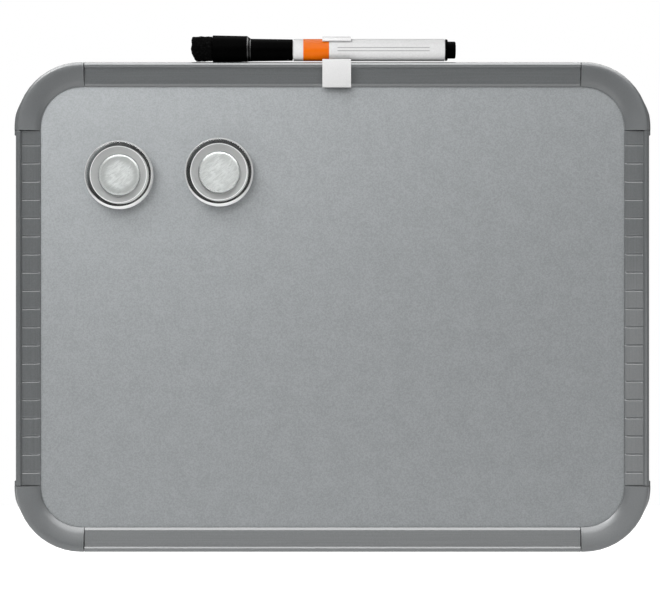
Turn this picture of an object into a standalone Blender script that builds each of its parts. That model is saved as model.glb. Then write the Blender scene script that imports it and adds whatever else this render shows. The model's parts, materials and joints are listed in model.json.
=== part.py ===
"""A small magnetic whiteboard with a pen clip, a capped marker and two round glass magnets.

Metres, with +Z up. The board hangs upright: its width runs along X, its writing side faces -Y,
and the origin is the middle of the wall plane, where the rear faces of its foam pads lie.
"""

import math

import bmesh
import bpy
from mathutils import Matrix, Vector

MM = 0.001

# Gaps and overruns
SEAT_GAP = 0.3 * MM  # between a piece and what it rests on, is glued to or is pushed into
RUNNING_GAP = 0.3 * MM  # around a piece that slides in another
CUT_OVERRUN = 1.0 * MM  # how far a cutter passes the face that it opens
WELD_DISTANCE = 0.001 * MM

# Frame, seen from the front
FRAME_WIDTH = 279.3 * MM  # over the outer faces of the side rails
FRAME_HEIGHT = 216.0 * MM
CORNER_RADIUS = 28.8 * MM
TOP_LEG = 1.2 * MM  # straight end of each corner cap beside the top or bottom rail
UPPER_SIDE_LEG = 1.2 * MM  # straight end of an upper cap beside the side rail
LOWER_SIDE_LEG = 0.2 * MM

# Rail section, from the outer face inward and from the front back
RAIL_WIDTH = 10.7 * MM
OUTER_WALL = 1.2 * MM
EDGE_ROUND = 1.5 * MM
LIP_WIDTH = 2.5 * MM
LIP_ROUND = 1.0 * MM
FACE_DEPTH = 1.1 * MM  # how far the face lies behind the lip, where it meets the lip
FACE_FALL = 0.6 * MM  # how much further back the face lies at its inner side
SIDE_FACE_DROP = 0.3 * MM  # how much deeper the face of a side rail lies
FRONT_WALL = 1.7 * MM
BACK_WALL = 1.4 * MM
BACK_FLANGE = 8.0 * MM
BACK_CHAMFER = 0.5 * MM
BEVEL_WIDTH = 1.1 * MM  # steeper slope along the inner edge of the face
INNER_EDGE = 0.4 * MM  # thickness left at the inner edge

# Grooves across the side rails
GROOVE_PITCH = 8.03 * MM
GROOVE_DEPTH = 0.45 * MM
FIRST_GROOVE = 6.2 * MM  # from the rail's upper end
LAST_GROOVE_MARGIN = 5.0 * MM  # least length left below the last groove
GROOVE_INSET = 0.3 * MM  # between the lip and the grooves

# Corner caps
CAP_FACE_FALL = 1.6 * MM  # how much further back the face lies at its inner side
CAP_FACE_CURVE = 1.5  # power of the width that the fall follows
TONGUE_LENGTH = 14.0 * MM
TONGUE_ROOT = 1.0 * MM
TONGUE_STEP = 0.2 * MM
SLEEVE_PROUD = 0.7 * MM  # how far the sleeve stands out past the side rail
SLEEVE_ROOT = 0.5 * MM
SLEEVE_STEP = 0.05 * MM  # keeps the sleeve's faces out of the planes of the cap's and the tab's
SLEEVE_REACH = 2.2 * MM  # how far the sleeve runs down the rail, past the joint
SLEEVE_TURN = 22.0  # degrees of the corner's arc that the sleeve covers
SLEEVE_START = 0.15 * MM  # how far it stands out where it begins
SLEEVE_RISE_SHARE = 0.5  # share of its turn over which it rises to its full height

# Panel
PANEL_COVER = 6.7 * MM  # how much of the panel's edge lies inside the rails
SHEET_THICKNESS = 0.5 * MM
CORE_THICKNESS = 3.7 * MM
BACK_SHEET_THICKNESS = 0.4 * MM

# Foam pads on the back
PAD_WIDTH = 20.0 * MM
PAD_HEIGHT = 30.0 * MM
PAD_THICKNESS = 3.0 * MM
PAD_ROUND = 2.0 * MM
PAD_MARGIN = 8.0 * MM  # from the edge of the rails' back flange

# Pen clip
CLIP_WIDTH = 12.6 * MM
CLIP_OFFSET = 1.85 * MM  # its middle, to the right of the board's middle
SADDLE_THICKNESS = 0.3 * MM  # at its thinnest, under the barrel
CRADLE_WALL = 0.8 * MM
PLATE_THICKNESS = 1.2 * MM
PLATE_DROP = 0.7 * MM  # how far the plate hangs below the rail's inner edge
PLATE_ROUND = 0.5 * MM
LEG_THICKNESS = 0.9 * MM
LEG_LENGTH = 9.0 * MM
LEG_CHAMFER = 0.3 * MM
CLIP_EDGE = 0.3 * MM  # rounding along both ends of the section
MOUTH_FLOOR = 66.0  # degrees below the barrel's axis
MOUTH_ROOF = 42.0  # degrees above it

# Marker, along its axis from the mouth of its cap
MARKER_OFFSET = 17.3 * MM  # the mouth, to the left of the board's middle
BARREL_RADIUS = 4.88 * MM
BARREL_LENGTH = 66.95 * MM
BARREL_WALL = 0.9 * MM
BARREL_EDGE = 0.25 * MM
NECK_STEP = 1.0 * MM
NECK_LENGTH = 12.0 * MM
NECK_WALL = 1.0 * MM
NECK_BORE_END = 2.0 * MM
HOLDER_NOSE = 3.0 * MM
HOLDER_DEPTH = 7.0 * MM
NOSE_NARROWING = 0.8 * MM
NIB_RADIUS = 1.1 * MM
NIB_REACH = 3.0 * MM
NIB_TAPER = 1.6 * MM
NIB_TIP_SHARE = 0.55
RESERVOIR_ROOM = 6.0 * MM  # free length between the ink reservoir and the end plug
PLUG_SPIGOT = 6.0 * MM
FLANGE_LENGTH = 1.0 * MM
FLANGE_TAPER = 0.3 * MM
KNOB_RADIUS = 3.77 * MM
KNOB_LENGTH = 3.5 * MM
KNOB_EDGE = 0.5 * MM

# Marker cap and its eraser
SLEEVE_LENGTH = 18.8 * MM
CAP_WALL = 0.55 * MM  # at the mouth
SLEEVE_TAPER = 0.25 * MM
SHOULDER_LENGTH = 1.5 * MM
SHOULDER_RISE = 0.6 * MM
HEAD_RADIUS = 5.98 * MM
HEAD_LENGTH = 15.4 * MM
HEAD_TAPER = 0.3 * MM
HEAD_EDGE = 0.4 * MM
HEAD_CLEARANCE = 0.3 * MM  # between the head and the top rail
NIB_ROOM = 1.4 * MM
FELT_STEP = 0.53 * MM  # how much narrower the felt is than the head
FELT_LENGTH = 9.45 * MM
FELT_ROUND = 1.0 * MM
FELT_SPIGOT_RADIUS = 4.4 * MM
FELT_SPIGOT = 3.2 * MM
WEAR_ANGLE = 20.0  # degrees between the worn lower half of its end and the upright

# Glass magnets
GLASS_RADIUS = 15.0 * MM
GLASS_HEIGHT = 7.0 * MM
GLASS_ROUND = 1.0 * MM
GLASS_CHAMFER = 2.4 * MM  # along the back edge
FOIL_RADIUS = 9.0 * MM
FOIL_THICKNESS = 0.3 * MM
MAGNET_THICKNESS = 2.0 * MM
MAGNET_EDGE = 0.2 * MM
MAGNET_PLACES = {  # in from the frame's left face and down from its top
    "magnet_a": (45.85 * MM, 49.9 * MM),
    "magnet_b": (89.85 * MM, 48.7 * MM),
}

# Fineness of round shapes
EDGE_STEPS = 4
CAP_FACE_STEPS = 5
CORNER_STEPS = 12
CLIP_STEPS = 20
MARKER_STEPS = 32
GLASS_STEPS = 48
EDGE_ANGLE = math.radians(35)

# Depths behind the frame's front
SLOT_FRONT = FACE_DEPTH + FRONT_WALL
SHEET_FRONT = SLOT_FRONT + SEAT_GAP
CORE_FRONT = SHEET_FRONT + SHEET_THICKNESS + SEAT_GAP
BACK_SHEET_FRONT = CORE_FRONT + CORE_THICKNESS + SEAT_GAP
PANEL_BACK = BACK_SHEET_FRONT + BACK_SHEET_THICKNESS
SLOT_BACK = PANEL_BACK + SEAT_GAP
FRAME_DEPTH = SLOT_BACK + BACK_WALL
WALL_DEPTH = PANEL_BACK + SEAT_GAP + PAD_THICKNESS
FRONT_Y = -WALL_DEPTH

# Other sizes that follow from those above
HALF_WIDTH = FRAME_WIDTH / 2
HALF_HEIGHT = FRAME_HEIGHT / 2
PANEL_INSET = RAIL_WIDTH - PANEL_COVER
SOLID_WALL = PANEL_INSET - SEAT_GAP
CRADLE_RADIUS = BARREL_RADIUS + RUNNING_GAP
CRADLE_OUTSIDE = CRADLE_RADIUS + CRADLE_WALL
AXIS_HEIGHT = SEAT_GAP + SADDLE_THICKNESS + CRADLE_RADIUS  # of the marker, over the rail
AXIS_Y = FRONT_Y + FRAME_DEPTH + SEAT_GAP + LEG_THICKNESS - CRADLE_OUTSIDE
AXIS_Z = HALF_HEIGHT + AXIS_HEIGHT
BORE_RADIUS = BARREL_RADIUS - BARREL_WALL
NECK_RADIUS = BARREL_RADIUS - NECK_STEP
NECK_BORE = NECK_RADIUS - NECK_WALL
NIB_TIP = NECK_LENGTH + HOLDER_NOSE + NIB_REACH
CAP_BORE = NECK_RADIUS + RUNNING_GAP
CAP_RADIUS = CAP_BORE + CAP_WALL
HEAD_START = SLEEVE_LENGTH + SHOULDER_LENGTH
HEAD_END = HEAD_START + HEAD_LENGTH
HEAD_RISE = HEAD_RADIUS + HEAD_CLEARANCE - AXIS_HEIGHT
FELT_RADIUS = HEAD_RADIUS - FELT_STEP
POCKET_DEPTH = MAGNET_THICKNESS + SEAT_GAP + FOIL_THICKNESS + SEAT_GAP


def collection(name):
    """A new collection in the scene."""
    made = bpy.data.collections.new(name)
    bpy.context.scene.collection.children.link(made)
    return made


def srgb(red, green, blue):
    """A colour given in 8-bit display values, as the linear colour that a shader takes."""
    shares = [value / 255 for value in (red, green, blue)]
    linear = [s / 12.92 if s <= 0.04045 else ((s + 0.055) / 1.055) ** 2.4 for s in shares]
    return (*linear, 1.0)


def finish(name, colour, roughness, metallic=0.0):
    """A plain material of one colour."""
    made = bpy.data.materials.new(name)
    made.use_nodes = True
    shader = made.node_tree.nodes["Principled BSDF"]
    shader.inputs["Base Color"].default_value = colour
    shader.inputs["Roughness"].default_value = roughness
    shader.inputs["Metallic"].default_value = metallic
    made.diffuse_color = colour
    return made


def arc(centre, radius, start, end, steps):
    """Points along an arc from one angle to another, in degrees, with both ends."""
    angles = [math.radians(start + (end - start) * step / steps) for step in range(steps + 1)]
    across, up = centre
    return [(across + radius * math.cos(angle), up + radius * math.sin(angle)) for angle in angles]


def mesh_object(name, shape):
    """A new object in the parts collection from a bmesh, with its faces pointing out."""
    bmesh.ops.recalc_face_normals(shape, faces=shape.faces)
    mesh = bpy.data.meshes.new(name)
    shape.to_mesh(mesh)
    shape.free()
    made = bpy.data.objects.new(name, mesh)
    parts.objects.link(made)
    return made


def bake(obj):
    """Turns an object's modifiers into plain mesh, shaded smooth up to its edges."""
    graph = bpy.context.evaluated_depsgraph_get()
    mesh = bpy.data.meshes.new_from_object(obj.evaluated_get(graph))
    obj.modifiers.clear()
    obj.data = mesh
    mesh.shade_smooth()
    mesh.set_sharp_from_angle(angle=EDGE_ANGLE)


def extruded(name, outline, length):
    """A solid with a closed outline in its XY plane, centred along its Z."""
    data = bpy.data.curves.new(name, "CURVE")
    data.dimensions = "2D"
    data.fill_mode = "BOTH"
    data.extrude = length / 2
    spline = data.splines.new("POLY")
    spline.points.add(len(outline) - 1)
    for point, (x, y) in zip(spline.points, outline):
        point.co = (x, y, 0, 1)
    spline.use_cyclic_u = True
    guide = bpy.data.objects.new(name + "_outline", data)
    parts.objects.link(guide)
    graph = bpy.context.evaluated_depsgraph_get()
    mesh = bpy.data.meshes.new_from_object(guide.evaluated_get(graph))
    bpy.data.objects.remove(guide)
    shape = bmesh.new()
    shape.from_mesh(mesh)
    bmesh.ops.remove_doubles(shape, verts=shape.verts, dist=WELD_DISTANCE)
    made = mesh_object(name, shape)
    bake(made)
    return made


def turned(name, profile, steps, closed=False):
    """A solid of revolution about its Z from (radius, height) points, from the top down."""
    shape = bmesh.new()
    points = [shape.verts.new((radius, 0, height)) for radius, height in profile]
    for first, second in zip(points, points[1:]):
        shape.edges.new((first, second))
    if closed:
        shape.edges.new((points[-1], points[0]))
    made = mesh_object(name, shape)
    screw = made.modifiers.new("turn", "SCREW")
    screw.steps = steps
    screw.render_steps = steps
    screw.use_merge_vertices = True
    screw.merge_threshold = WELD_DISTANCE
    bake(made)
    return made


def block(name, low, high):
    """A box between two opposite corners."""
    shape = bmesh.new()
    bmesh.ops.create_cube(shape, size=1)
    low, high = Vector(low), Vector(high)
    bmesh.ops.scale(shape, vec=high - low, verts=shape.verts)
    bmesh.ops.translate(shape, vec=(low + high) / 2, verts=shape.verts)
    return mesh_object(name, shape)


def combine(target, other, operation):
    """Joins another solid to the target or cuts it away, and keeps it among the cutters."""
    change = target.modifiers.new(other.name, "BOOLEAN")
    change.operation = operation
    change.object = other
    bake(target)
    parts.objects.unlink(other)
    cutters.objects.link(other)
    other.hide_render = True
    other.display_type = "WIRE"


def place(obj, surface=None, parent=None, location=(0, 0, 0), rotation=(0, 0, 0)):
    """Sets an object's place and material. The rotation is in degrees about X, Y and Z."""
    obj.parent = parent
    obj.location = location
    obj.rotation_euler = [math.radians(angle) for angle in rotation]
    if surface:
        obj.data.materials.clear()
        obj.data.materials.append(surface)
    return obj


def axis_empty(name, location, parent=None, rotation=(0, 0, 0)):
    """An empty that carries the pieces of one moving body."""
    made = bpy.data.objects.new(name, None)
    made.empty_display_size = RAIL_WIDTH
    parts.objects.link(made)
    return place(made, parent=parent, location=location, rotation=rotation)


def rounded_rectangle(width, height, radius, steps):
    """Outline of a rectangle about the origin, with an arc at each corner."""
    across, up = width / 2 - radius, height / 2 - radius
    centres = [(across, up), (-across, up), (-across, -up), (across, -up)]
    outline = []
    for quarter, centre in enumerate(centres):
        outline += arc(centre, radius, 90 * quarter, 90 * (quarter + 1), steps)
    return outline


def channel(outer_wall):
    """Inner edge, slot for the panel and back flange, which every frame section has.

    In a frame section, x runs in from the outer face and y runs back from the front.
    """
    return [
        (RAIL_WIDTH, SLOT_FRONT - INNER_EDGE),
        (RAIL_WIDTH, SLOT_FRONT),
        (outer_wall, SLOT_FRONT),
        (outer_wall, SLOT_BACK),
        (BACK_FLANGE, SLOT_BACK),
        (BACK_FLANGE, FRAME_DEPTH),
        (BACK_CHAMFER, FRAME_DEPTH),
        (0, FRAME_DEPTH - BACK_CHAMFER),
    ]


def rail_section(face_depth):
    """Section of a rail, with a raised lip along its outer edge."""
    outline = arc((EDGE_ROUND, EDGE_ROUND), EDGE_ROUND, 180, 270, EDGE_STEPS)
    outline += arc((LIP_WIDTH - LIP_ROUND, LIP_ROUND), LIP_ROUND, 270, 360, EDGE_STEPS)
    outline += [(LIP_WIDTH, face_depth), (RAIL_WIDTH - BEVEL_WIDTH, face_depth + FACE_FALL)]
    return outline + channel(OUTER_WALL)


def cap_section():
    """Section of a corner cap, without a lip. Its face curves back towards the panel."""
    outline = arc((EDGE_ROUND, EDGE_ROUND), EDGE_ROUND, 180, 270, EDGE_STEPS)
    width = RAIL_WIDTH - BEVEL_WIDTH - EDGE_ROUND
    for step in range(CAP_FACE_STEPS):
        share = (step + 1) / CAP_FACE_STEPS
        outline.append((EDGE_ROUND + width * share, CAP_FACE_FALL * share**CAP_FACE_CURVE))
    return outline + channel(SOLID_WALL)


def pushed(shape, face, travel):
    """Moves an end face of a bmesh solid along a vector, with new sides behind it."""
    made = bmesh.ops.extrude_face_region(shape, geom=[face])["geom"]
    points = [item for item in made if isinstance(item, bmesh.types.BMVert)]
    bmesh.ops.translate(shape, vec=travel, verts=points)
    shape.faces.remove(face)


def swept(name, section, start, first_leg, last_leg):
    """A section carried round the upper left corner, about the corner's centre.

    It starts at an angle from straight up, with a leg to the right there if one is given,
    and ends with a leg straight down.
    """
    shape = bmesh.new()
    ring = [shape.verts.new((0, back, CORNER_RADIUS - inward)) for inward, back in section]
    first = shape.faces.new(ring)
    lean = Matrix.Rotation(math.radians(-start), 3, "Y")
    bmesh.ops.rotate(shape, matrix=lean, verts=ring)
    turn = math.radians(start - 90)
    spun = bmesh.ops.spin(
        shape, geom=[first], cent=(0, 0, 0), axis=(0, 1, 0), angle=turn, steps=CORNER_STEPS
    )
    last = next(item for item in spun["geom_last"] if isinstance(item, bmesh.types.BMFace))
    pushed(shape, last, Vector((0, 0, -last_leg)))
    if first_leg:
        pushed(shape, first, Vector((first_leg, 0, 0)))
    return mesh_object(name, shape)


def make_panel():
    """The steel writing sheet, the core behind it and the sheet on its back."""
    width = FRAME_WIDTH - 2 * PANEL_INSET
    height = FRAME_HEIGHT - 2 * PANEL_INSET
    outline = rounded_rectangle(width, height, CORNER_RADIUS - PANEL_INSET, CORNER_STEPS)
    layers = [
        ("writing_sheet", SHEET_FRONT, SHEET_THICKNESS, silver_enamel),
        ("core_board", CORE_FRONT, CORE_THICKNESS, fibreboard),
        ("back_sheet", BACK_SHEET_FRONT, BACK_SHEET_THICKNESS, grey_card),
    ]
    for name, depth, thickness, surface in layers:
        middle = (0, FRONT_Y + depth + thickness / 2, 0)
        place(extruded(name, outline, thickness), surface, location=middle, rotation=(90, 0, 0))


def groove_bars(name, heights, face_depth):
    """Square bars lying across a left rail, one corner of each sunk in its sloping face."""
    start = LIP_WIDTH + GROOVE_INSET
    length = RAIL_WIDTH + CUT_OVERRUN - start
    slope = FACE_FALL / (RAIL_WIDTH - BEVEL_WIDTH - LIP_WIDTH)
    middle = start + length / 2
    depth = face_depth + slope * (middle - LIP_WIDTH)
    lie = Matrix.Rotation(math.atan(slope), 3, "Z") @ Matrix.Rotation(math.radians(90), 3, "Y")
    shape = bmesh.new()
    for height in heights:
        bar = bmesh.ops.create_cone(
            shape,
            cap_ends=True,
            segments=4,
            radius1=GROOVE_DEPTH,
            radius2=GROOVE_DEPTH,
            depth=length,
        )["verts"]
        bmesh.ops.rotate(shape, matrix=lie, verts=bar)
        bmesh.ops.translate(shape, vec=(middle, depth, height), verts=bar)
    return mesh_object(name, shape)


def make_rails():
    """Top and bottom rails with a plain face, and side rails with grooves across theirs."""
    plain_length = FRAME_WIDTH - 2 * (CORNER_RADIUS + TOP_LEG + SEAT_GAP)
    plain = rail_section(FACE_DEPTH)
    for name, height, angle in (("top_rail", HALF_HEIGHT, 90), ("bottom_rail", -HALF_HEIGHT, -90)):
        rail = extruded(name, plain, plain_length)
        place(rail, grey_paint, location=(0, FRONT_Y, height), rotation=(0, angle, 0))

    upper_end = HALF_HEIGHT - CORNER_RADIUS - UPPER_SIDE_LEG - SEAT_GAP
    lower_end = CORNER_RADIUS + LOWER_SIDE_LEG + SEAT_GAP - HALF_HEIGHT
    length = upper_end - lower_end
    middle = (upper_end + lower_end) / 2
    face_depth = FACE_DEPTH + SIDE_FACE_DROP
    count = 1 + int((length - FIRST_GROOVE - LAST_GROOVE_MARGIN) / GROOVE_PITCH)
    down = [FIRST_GROOVE + GROOVE_PITCH * number for number in range(count)]
    for name, side, angle in (("left_rail", -1, 0), ("right_rail", 1, 180)):
        rail = extruded(name, rail_section(face_depth), length)
        heights = [-side * (length / 2 - drop) for drop in down]
        combine(rail, groove_bars(name + "_grooves", heights, face_depth), "DIFFERENCE")
        place(
            rail, grey_paint, location=(side * HALF_WIDTH, FRONT_Y, middle), rotation=(0, angle, 0)
        )


def sleeve_solid(name, leg):
    """The sleeve of an upper left corner cap, which rises out of the cap's outer face."""
    front, back = EDGE_ROUND, FRAME_DEPTH - BACK_CHAMFER
    section = [
        (SLEEVE_ROOT, front),
        (-SLEEVE_PROUD, front + SLEEVE_PROUD),
        (-SLEEVE_PROUD, back - SLEEVE_PROUD),
        (SLEEVE_ROOT, back),
    ]
    start = 90 - SLEEVE_TURN
    sleeve = swept(name, section, start, 0, leg)
    for vertex in sleeve.data.vertices:
        across, up = vertex.co.x, vertex.co.z
        radius = math.hypot(across, up)
        if up < 0 or radius < CORNER_RADIUS:
            continue
        turned_by = math.degrees(math.atan2(-across, up)) - start
        share = min(turned_by / (SLEEVE_TURN * SLEEVE_RISE_SHARE), 1)
        proud = SLEEVE_START + (SLEEVE_PROUD - SLEEVE_START) * share
        scale = (CORNER_RADIUS + proud) / radius
        vertex.co.x, vertex.co.z = across * scale, up * scale
    return sleeve


def corner_solid(name, side_leg):
    """An upper left corner cap about its arc's centre: channel, sleeve, tab and two tongues."""
    cap = swept(name, cap_section(), 0, TOP_LEG, side_leg)
    combine(cap, sleeve_solid(name + "_sleeve", side_leg - SLEEVE_STEP), "UNION")
    inset = SLEEVE_PROUD + SLEEVE_STEP
    front, back = EDGE_ROUND + inset, FRAME_DEPTH - BACK_CHAMFER - inset
    tab = block(
        name + "_tab",
        (SLEEVE_STEP - CORNER_RADIUS - SLEEVE_PROUD, front, -side_leg - SLEEVE_REACH),
        (-CORNER_RADIUS - SEAT_GAP, back, -side_leg / 2),
    )
    combine(cap, tab, "UNION")
    outer = CORNER_RADIUS - OUTER_WALL - SEAT_GAP
    inner = CORNER_RADIUS - SOLID_WALL + TONGUE_STEP
    front, back = SLOT_FRONT + SEAT_GAP, SLOT_BACK - SEAT_GAP
    top_tongue = block(
        name + "_top_tongue",
        (TOP_LEG - TONGUE_ROOT, front, inner),
        (TOP_LEG + TONGUE_LENGTH, back, outer),
    )
    combine(cap, top_tongue, "UNION")
    side_tongue = block(
        name + "_side_tongue",
        (-outer, front, -side_leg - TONGUE_LENGTH),
        (-inner, back, TONGUE_ROOT - side_leg),
    )
    combine(cap, side_tongue, "UNION")
    return cap


def make_corner_caps():
    """Four caps, the right ones mirrored from the left and the lower from the upper shape."""
    for level, side_leg, height_sign in (("top", UPPER_SIDE_LEG, 1), ("bottom", LOWER_SIDE_LEG, -1)):
        for side, width_sign in (("left", -1), ("right", 1)):
            cap = corner_solid(f"{level}_{side}_cap", side_leg)
            cap.data.transform(Matrix.Diagonal((-width_sign, 1, height_sign, 1)))
            if width_sign == height_sign:
                cap.data.flip_normals()
            centre = (
                width_sign * (HALF_WIDTH - CORNER_RADIUS),
                FRONT_Y,
                height_sign * (HALF_HEIGHT - CORNER_RADIUS),
            )
            place(cap, cap_plastic, location=centre)


def make_wall_pads():
    """Four foam pads on the back sheet, inside the corners of the rails' back flange."""
    outline = rounded_rectangle(PAD_WIDTH, PAD_HEIGHT, PAD_ROUND, EDGE_STEPS)
    across = HALF_WIDTH - BACK_FLANGE - PAD_MARGIN - PAD_WIDTH / 2
    up = HALF_HEIGHT - BACK_FLANGE - PAD_MARGIN - PAD_HEIGHT / 2
    for level, height in (("top", up), ("bottom", -up)):
        for side, x in (("left", -across), ("right", across)):
            pad = extruded(f"{level}_{side}_pad", outline, PAD_THICKNESS)
            place(pad, white_foam, location=(x, -PAD_THICKNESS / 2, height), rotation=(90, 0, 0))


def clip_section():
    """Section of the pen clip in Y and Z, about the barrel's axis.

    A ring that is open to the front sits on a saddle. The saddle has a plate down the front
    of the rail and a leg down its back.
    """
    plate_back = FRONT_Y - SEAT_GAP - AXIS_Y
    plate_front = plate_back - PLATE_THICKNESS
    plate_foot = -AXIS_HEIGHT - RAIL_WIDTH - PLATE_DROP
    leg_front = CRADLE_OUTSIDE - LEG_THICKNESS
    leg_foot = -AXIS_HEIGHT - LEG_LENGTH
    saddle = SEAT_GAP - AXIS_HEIGHT
    ledge = -CRADLE_RADIUS * math.sin(math.radians(MOUTH_FLOOR))
    lip = math.radians(180 - MOUTH_ROOF)
    lip_middle = CRADLE_RADIUS + CRADLE_WALL / 2
    lip_centre = (lip_middle * math.cos(lip), lip_middle * math.sin(lip))
    edge = (plate_front + PLATE_ROUND, ledge - PLATE_ROUND)
    foot = (plate_front + PLATE_ROUND, plate_foot + PLATE_ROUND)

    outline = arc(foot, PLATE_ROUND, 270, 180, EDGE_STEPS)
    outline += arc(edge, PLATE_ROUND, 180, 90, EDGE_STEPS)
    outline += arc((0, 0), CRADLE_RADIUS, 180 + MOUTH_FLOOR, 540 - MOUTH_ROOF, CLIP_STEPS)
    rounding = arc(lip_centre, CRADLE_WALL / 2, 360 - MOUTH_ROOF, 180 - MOUTH_ROOF, EDGE_STEPS)
    outline += rounding[1:-1]
    outline += arc((0, 0), CRADLE_OUTSIDE, 180 - MOUTH_ROOF, 0, CLIP_STEPS)
    outline += [
        (CRADLE_OUTSIDE, leg_foot + LEG_CHAMFER),
        (CRADLE_OUTSIDE - LEG_CHAMFER, leg_foot),
        (leg_front, leg_foot),
        (leg_front, saddle),
        (plate_back, saddle),
        (plate_back, plate_foot),
    ]
    return outline


def make_clip():
    """The pen clip on the top rail, and the empty that carries it and the marker."""
    carriage = axis_empty("clip_carriage", (CLIP_OFFSET, AXIS_Y, AXIS_Z))
    clip = extruded("pen_clip", clip_section(), CLIP_WIDTH)
    rounding = clip.modifiers.new("rounded_ends", "BEVEL")
    rounding.width = CLIP_EDGE
    rounding.segments = EDGE_STEPS // 2
    rounding.limit_method = "ANGLE"
    rounding.angle_limit = math.radians(80)
    bake(clip)
    place(clip, white_plastic, carriage, rotation=(90, 0, 90))
    return carriage


def barrel_profile():
    """Barrel wall from the open right end to the neck, then back along the bore."""
    return [
        (BORE_RADIUS, BARREL_LENGTH),
        (BARREL_RADIUS - BARREL_EDGE, BARREL_LENGTH),
        (BARREL_RADIUS, BARREL_LENGTH - BARREL_EDGE),
        (BARREL_RADIUS, BARREL_EDGE),
        (BARREL_RADIUS - BARREL_EDGE, 0),
        (NECK_RADIUS, 0),
        (NECK_RADIUS, BARREL_EDGE - NECK_LENGTH),
        (NECK_RADIUS - BARREL_EDGE, -NECK_LENGTH),
        (NECK_BORE, -NECK_LENGTH),
        (NECK_BORE, NECK_BORE_END),
        (BORE_RADIUS, NECK_BORE_END),
    ]


def holder_profile():
    """Tube that holds the nib in the neck, with a tapered nose in front of it."""
    radius = NECK_BORE - SEAT_GAP
    bore = NIB_RADIUS + SEAT_GAP
    return [
        (bore, HOLDER_DEPTH - NECK_LENGTH),
        (radius, HOLDER_DEPTH - NECK_LENGTH),
        (radius, -NECK_LENGTH),
        (radius - NOSE_NARROWING, -NECK_LENGTH - HOLDER_NOSE),
        (bore, -NECK_LENGTH - HOLDER_NOSE),
    ]


def plug_profile():
    """Plug that closes the barrel: spigot inside, flange against its end and a small knob."""
    spigot = BORE_RADIUS - SEAT_GAP
    seat = BARREL_LENGTH + SEAT_GAP
    rim = seat + FLANGE_LENGTH
    end = rim + KNOB_LENGTH
    return [
        (0, end),
        (KNOB_RADIUS - KNOB_EDGE, end),
        (KNOB_RADIUS, end - KNOB_EDGE),
        (KNOB_RADIUS, rim),
        (BARREL_RADIUS - FLANGE_TAPER, rim),
        (BARREL_RADIUS, seat + BARREL_EDGE),
        (BARREL_RADIUS - BARREL_EDGE, seat),
        (spigot, seat),
        (spigot, BARREL_LENGTH - PLUG_SPIGOT),
        (0, BARREL_LENGTH - PLUG_SPIGOT),
    ]


def make_marker(carriage):
    """The marker without its cap. Its empty's Z runs along the barrel, away from the nib."""
    mouth = (-MARKER_OFFSET - CLIP_OFFSET, 0, 0)
    marker = axis_empty("marker_axis", mouth, carriage, rotation=(0, 90, 0))
    place(turned("marker_barrel", barrel_profile(), MARKER_STEPS, closed=True), white_barrel, marker)
    place(turned("nib_holder", holder_profile(), MARKER_STEPS, closed=True), white_plastic, marker)
    place(turned("end_plug", plug_profile(), MARKER_STEPS), black_plastic, marker)

    reservoir = BORE_RADIUS - SEAT_GAP
    ends = (BARREL_LENGTH - PLUG_SPIGOT - RESERVOIR_ROOM, NECK_BORE_END + SEAT_GAP)
    profile = [(0, ends[0]), (reservoir, ends[0]), (reservoir, ends[1]), (0, ends[1])]
    place(turned("ink_reservoir", profile, MARKER_STEPS), ink_fibre, marker)

    tip = NIB_RADIUS * NIB_TIP_SHARE
    profile = [(0, NECK_BORE_END), (NIB_RADIUS, NECK_BORE_END), (NIB_RADIUS, NIB_TAPER - NIB_TIP)]
    profile += [(tip, -NIB_TIP), (0, -NIB_TIP)]
    place(turned("marker_nib", profile, MARKER_STEPS), ink_fibre, marker)
    return marker


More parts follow.
